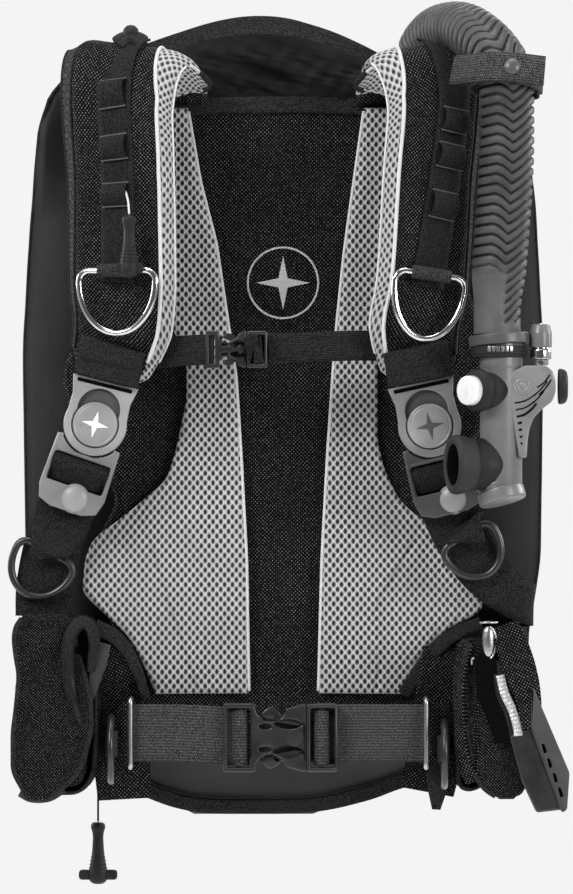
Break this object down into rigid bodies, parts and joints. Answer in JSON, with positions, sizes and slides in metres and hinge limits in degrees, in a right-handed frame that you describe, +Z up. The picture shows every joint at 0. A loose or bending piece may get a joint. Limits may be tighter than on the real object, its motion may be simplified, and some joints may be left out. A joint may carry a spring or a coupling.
{
  "type": "buoyancy compensator vest",
  "caption": "Black scuba buoyancy vest with padded straps, grey mesh back pads, corrugated hose with power inflator, buckles, D-rings and pockets.",
  "frame": {"origin": "centre of the cylinder seat on the back plate", "axes": "+Z up along the wearer's spine, +Y towards the cylinder, +X towards the wearer's left"},
  "size_m": [0.4699, 0.3829, 0.7477],
  "materials": {
    "air_cell_fabric": "smooth coated nylon",
    "panel_fabric": "coarse ballistic weave",
    "spacer_mesh": "open grey spacer mesh",
    "webbing": "ribbed nylon webbing",
    "black_plastic": "moulded acetal",
    "grey_plastic": "satin moulded",
    "hose_rubber": "corrugated, matt",
    "inflator_plastic": "satin moulded",
    "steel": "polished stainless",
    "white_plastic": "gloss white"
  },
  "bodies": {
    "vest": {"air_cell": "air_cell_fabric", "back_panel": "panel_fabric", "right_shoulder_strap": "panel_fabric", "left_shoulder_strap": "panel_fabric", "right_side_pocket": "panel_fabric", "left_side_pocket": "panel_fabric", "right_back_pad": "spacer_mesh", "left_back_pad": "spacer_mesh", "right_gear_webbing": "webbing", "left_gear_webbing": "webbing", "chest_strap_right": "webbing", "chest_strap_left": "webbing", "waist_strap_right": "webbing", "waist_strap_left": "webbing", "right_lower_webbing": "webbing", "left_lower_webbing": "webbing", "tank_band": "webbing", "hose_retainer": "webbing", "grab_handle": "webbing", "back_plate": "black_plastic", "cam_buckle": "black_plastic", "chest_buckle_socket": "black_plastic", "waist_buckle_socket": "black_plastic", "hose_elbow": "black_plastic", "retainer_snap": "black_plastic", "shoulder_dump_valve": "black_plastic", "rear_dump_valve": "black_plastic", "right_buckle_housing": "grey_plastic", "left_buckle_housing": "grey_plastic", "hose_upper": "hose_rubber", "right_waist_loop": "steel", "left_waist_loop": "steel"},
    "chest_clip": {"chest_buckle_clip": "black_plastic"},
    "waist_clip": {"waist_buckle_clip": "black_plastic"},
    "right_button": {"right_buckle_button": "grey_plastic"},
    "left_button": {"left_buckle_button": "grey_plastic"},
    "right_slider": {"right_buckle_slider": "grey_plastic"},
    "left_slider": {"left_buckle_slider": "grey_plastic"},
    "right_chest_d": {"right_chest_ring": "steel"},
    "left_chest_d": {"left_chest_ring": "steel"},
    "right_hip_d": {"right_hip_ring": "black_plastic"},
    "left_hip_d": {"left_hip_ring": "black_plastic"},
    "right_waist_d": {"right_waist_ring": "black_plastic"},
    "left_waist_d": {"left_waist_ring": "black_plastic"},
    "inflator": {"hose_lower": "hose_rubber", "hose_clamp": "black_plastic", "inflator_body": "inflator_plastic", "inflator_mouthpiece": "black_plastic", "inflator_housing": "black_plastic", "inflator_nipple": "steel"},
    "inflate_key": {"inflate_button": "black_plastic"},
    "deflate_key": {"deflate_button": "white_plastic"},
    "shoulder_pull": {"shoulder_dump_knob": "black_plastic"},
    "rear_pull": {"rear_dump_cord": "webbing", "rear_dump_knob": "black_plastic"},
    "right_pouch": {"right_weight_pouch": "panel_fabric"},
    "left_pouch": {"left_weight_pouch": "panel_fabric", "left_weight_handle": "black_plastic"},
    "band_lever": {"cam_lever": "black_plastic"}
  },
  "joints": [
    {"name": "chest_buckle_release", "type": "slide", "parent": "vest", "child": "chest_clip", "axis": [1, 0, 0], "range_m": [0, 0.02]},
    {"name": "waist_buckle_release", "type": "slide", "parent": "vest", "child": "waist_clip", "axis": [1, 0, 0], "range_m": [0, 0.035]},
    {"name": "right_buckle_press", "type": "slide", "parent": "vest", "child": "right_button", "axis": [0, 1, 0], "range_m": [0, 0.0025], "stiffness_N_per_m": 300},
    {"name": "left_buckle_press", "type": "slide", "parent": "vest", "child": "left_button", "axis": [0, 1, 0], "range_m": [0, 0.0025], "stiffness_N_per_m": 300},
    {"name": "right_slider_release", "type": "slide", "parent": "vest", "child": "right_slider", "axis": [-0.3256, 0, -0.9455], "range_m": [0, 0.006]},
    {"name": "left_slider_release", "type": "slide", "parent": "vest", "child": "left_slider", "axis": [0.2419, 0, -0.9703], "range_m": [0, 0.006]},
    {"name": "right_chest_ring_swing", "type": "hinge", "parent": "vest", "child": "right_chest_d", "pos_m": [-0.138, -0.1535, 0.12], "axis": [0.9659, -0.2588, 0], "range_deg": [-110, 0]},
    {"name": "left_chest_ring_swing", "type": "hinge", "parent": "vest", "child": "left_chest_d", "pos_m": [0.1235, -0.1475, 0.117], "axis": [0.9686, 0.2059, -0.1392], "range_deg": [-110, 0]},
    {"name": "right_hip_ring_swing", "type": "hinge", "parent": "vest", "child": "right_hip_d", "pos_m": [-0.196, -0.116, -0.1147], "axis": [0.8712, 0, -0.4909], "range_deg": [-110, 0]},
    {"name": "left_hip_ring_swing", "type": "hinge", "parent": "vest", "child": "left_hip_d", "pos_m": [0.152, -0.116, -0.101], "axis": [0.8387, 0, 0.5446], "range_deg": [-110, 0]},
    {"name": "right_waist_ring_turn", "type": "hinge", "parent": "vest", "child": "right_waist_d", "pos_m": [-0.144, -0.109, -0.28], "axis": [0, 0, 1], "range_deg": [-12, 38]},
    {"name": "left_waist_ring_turn", "type": "hinge", "parent": "vest", "child": "left_waist_d", "pos_m": [0.135, -0.111, -0.284], "axis": [0, 0, 1], "range_deg": [-38, 10]},
    {"name": "inflator_swing", "type": "hinge", "parent": "vest", "child": "inflator", "pos_m": [0.1865, -0.145, 0.25], "axis": [-1, 0, 0], "range_deg": [0, 75]},
    {"name": "inflate_press", "type": "slide", "parent": "inflator", "child": "inflate_key", "axis": [-1, 0, 0], "range_m": [0, 0.0025], "stiffness_N_per_m": 300},
    {"name": "deflate_press", "type": "slide", "parent": "inflator", "child": "deflate_key", "axis": [0.7507, 0.6606, 0], "range_m": [0, 0.003], "stiffness_N_per_m": 300},
    {"name": "shoulder_dump_pull", "type": "slide", "parent": "vest", "child": "shoulder_pull", "axis": [0, 0, -1], "range_m": [0, 0.012], "stiffness_N_per_m": 60, "springref_m": -0.012},
    {"name": "rear_dump_pull", "type": "slide", "parent": "vest", "child": "rear_pull", "axis": [0, 0, -1], "range_m": [0, 0.012], "stiffness_N_per_m": 60, "springref_m": -0.012},
    {"name": "right_pouch_release", "type": "slide", "parent": "vest", "child": "right_pouch", "axis": [0, -1, 0], "range_m": [0, 0.08]},
    {"name": "left_pouch_release", "type": "slide", "parent": "vest", "child": "left_pouch", "axis": [0, -1, 0], "range_m": [0, 0.08]},
    {"name": "cam_lever_open", "type": "hinge", "parent": "vest", "child": "band_lever", "pos_m": [0.09743, 0.14964, 0.07], "axis": [0, 0, 1], "range_deg": [-150, 0]}
  ]
}
